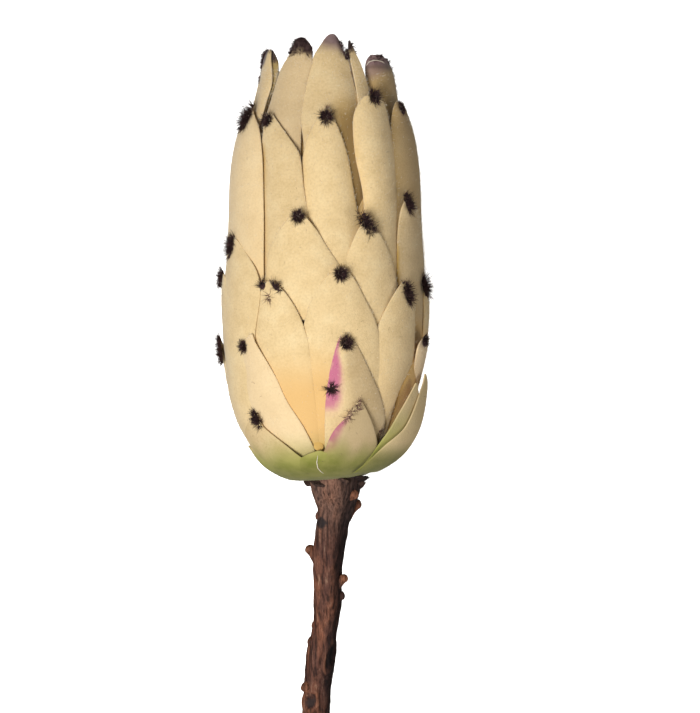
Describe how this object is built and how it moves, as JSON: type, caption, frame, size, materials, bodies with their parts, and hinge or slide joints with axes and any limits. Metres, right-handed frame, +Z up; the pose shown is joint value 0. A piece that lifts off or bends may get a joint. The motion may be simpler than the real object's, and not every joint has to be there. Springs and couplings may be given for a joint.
{
  "type": "protea flower",
  "caption": "Cut protea flower lying on its side: a dense oblong head of overlapping cream bracts with dark tufts, green lower bracts and a short woody stem.",
  "frame": {"origin": "centre of the lying flower's bounding box, on the ground that it lies on", "axes": "+Z up, +Y along the flower from the cut end of its stem to the tip of its head, +X to the right of the side that faces up"},
  "size_m": [0.0652, 0.2798, 0.0619],
  "materials": {
    "cream_bracts": "soft velvety flock",
    "green_bracts": "soft velvety flock, cream to green",
    "stem_bark": "grooved bark, slightly waxy"
  },
  "bodies": {
    "root": {"flower_head": "cream_bracts", "green_bracts": "green_bracts", "stem": "stem_bark"}
  },
  "joints": []
}
